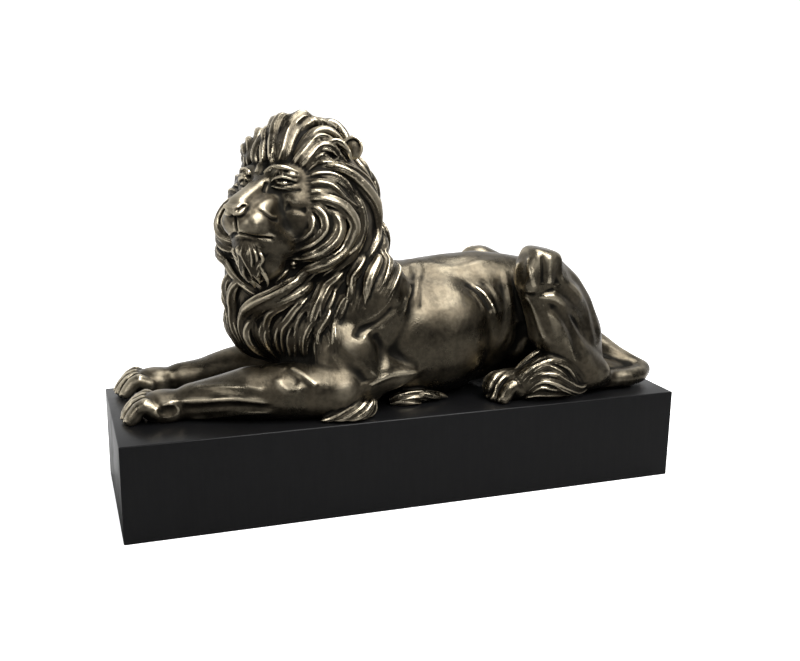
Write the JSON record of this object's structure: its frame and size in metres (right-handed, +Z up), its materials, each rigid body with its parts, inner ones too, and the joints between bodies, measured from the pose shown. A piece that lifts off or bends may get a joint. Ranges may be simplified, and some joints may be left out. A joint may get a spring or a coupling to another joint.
{
  "type": "lion statue",
  "caption": "Reclining lion with its head turned to the left, in dark bronze finish, on a plain black rectangular plinth.",
  "frame": {"origin": "middle of the plinth's underside", "axes": "+X along the plinth's length from the lion's front paws to its tail, +Z up, -Y to the lion's left"},
  "size_m": [0.28, 0.092, 0.1886],
  "materials": {
    "bronze": "dark brown-black patina, rubbed back to pale gold on the ridges",
    "black_plinth": "smooth satin black lacquer"
  },
  "bodies": {
    "root": {"lion": "bronze", "plinth": "black_plinth"}
  },
  "joints": []
}
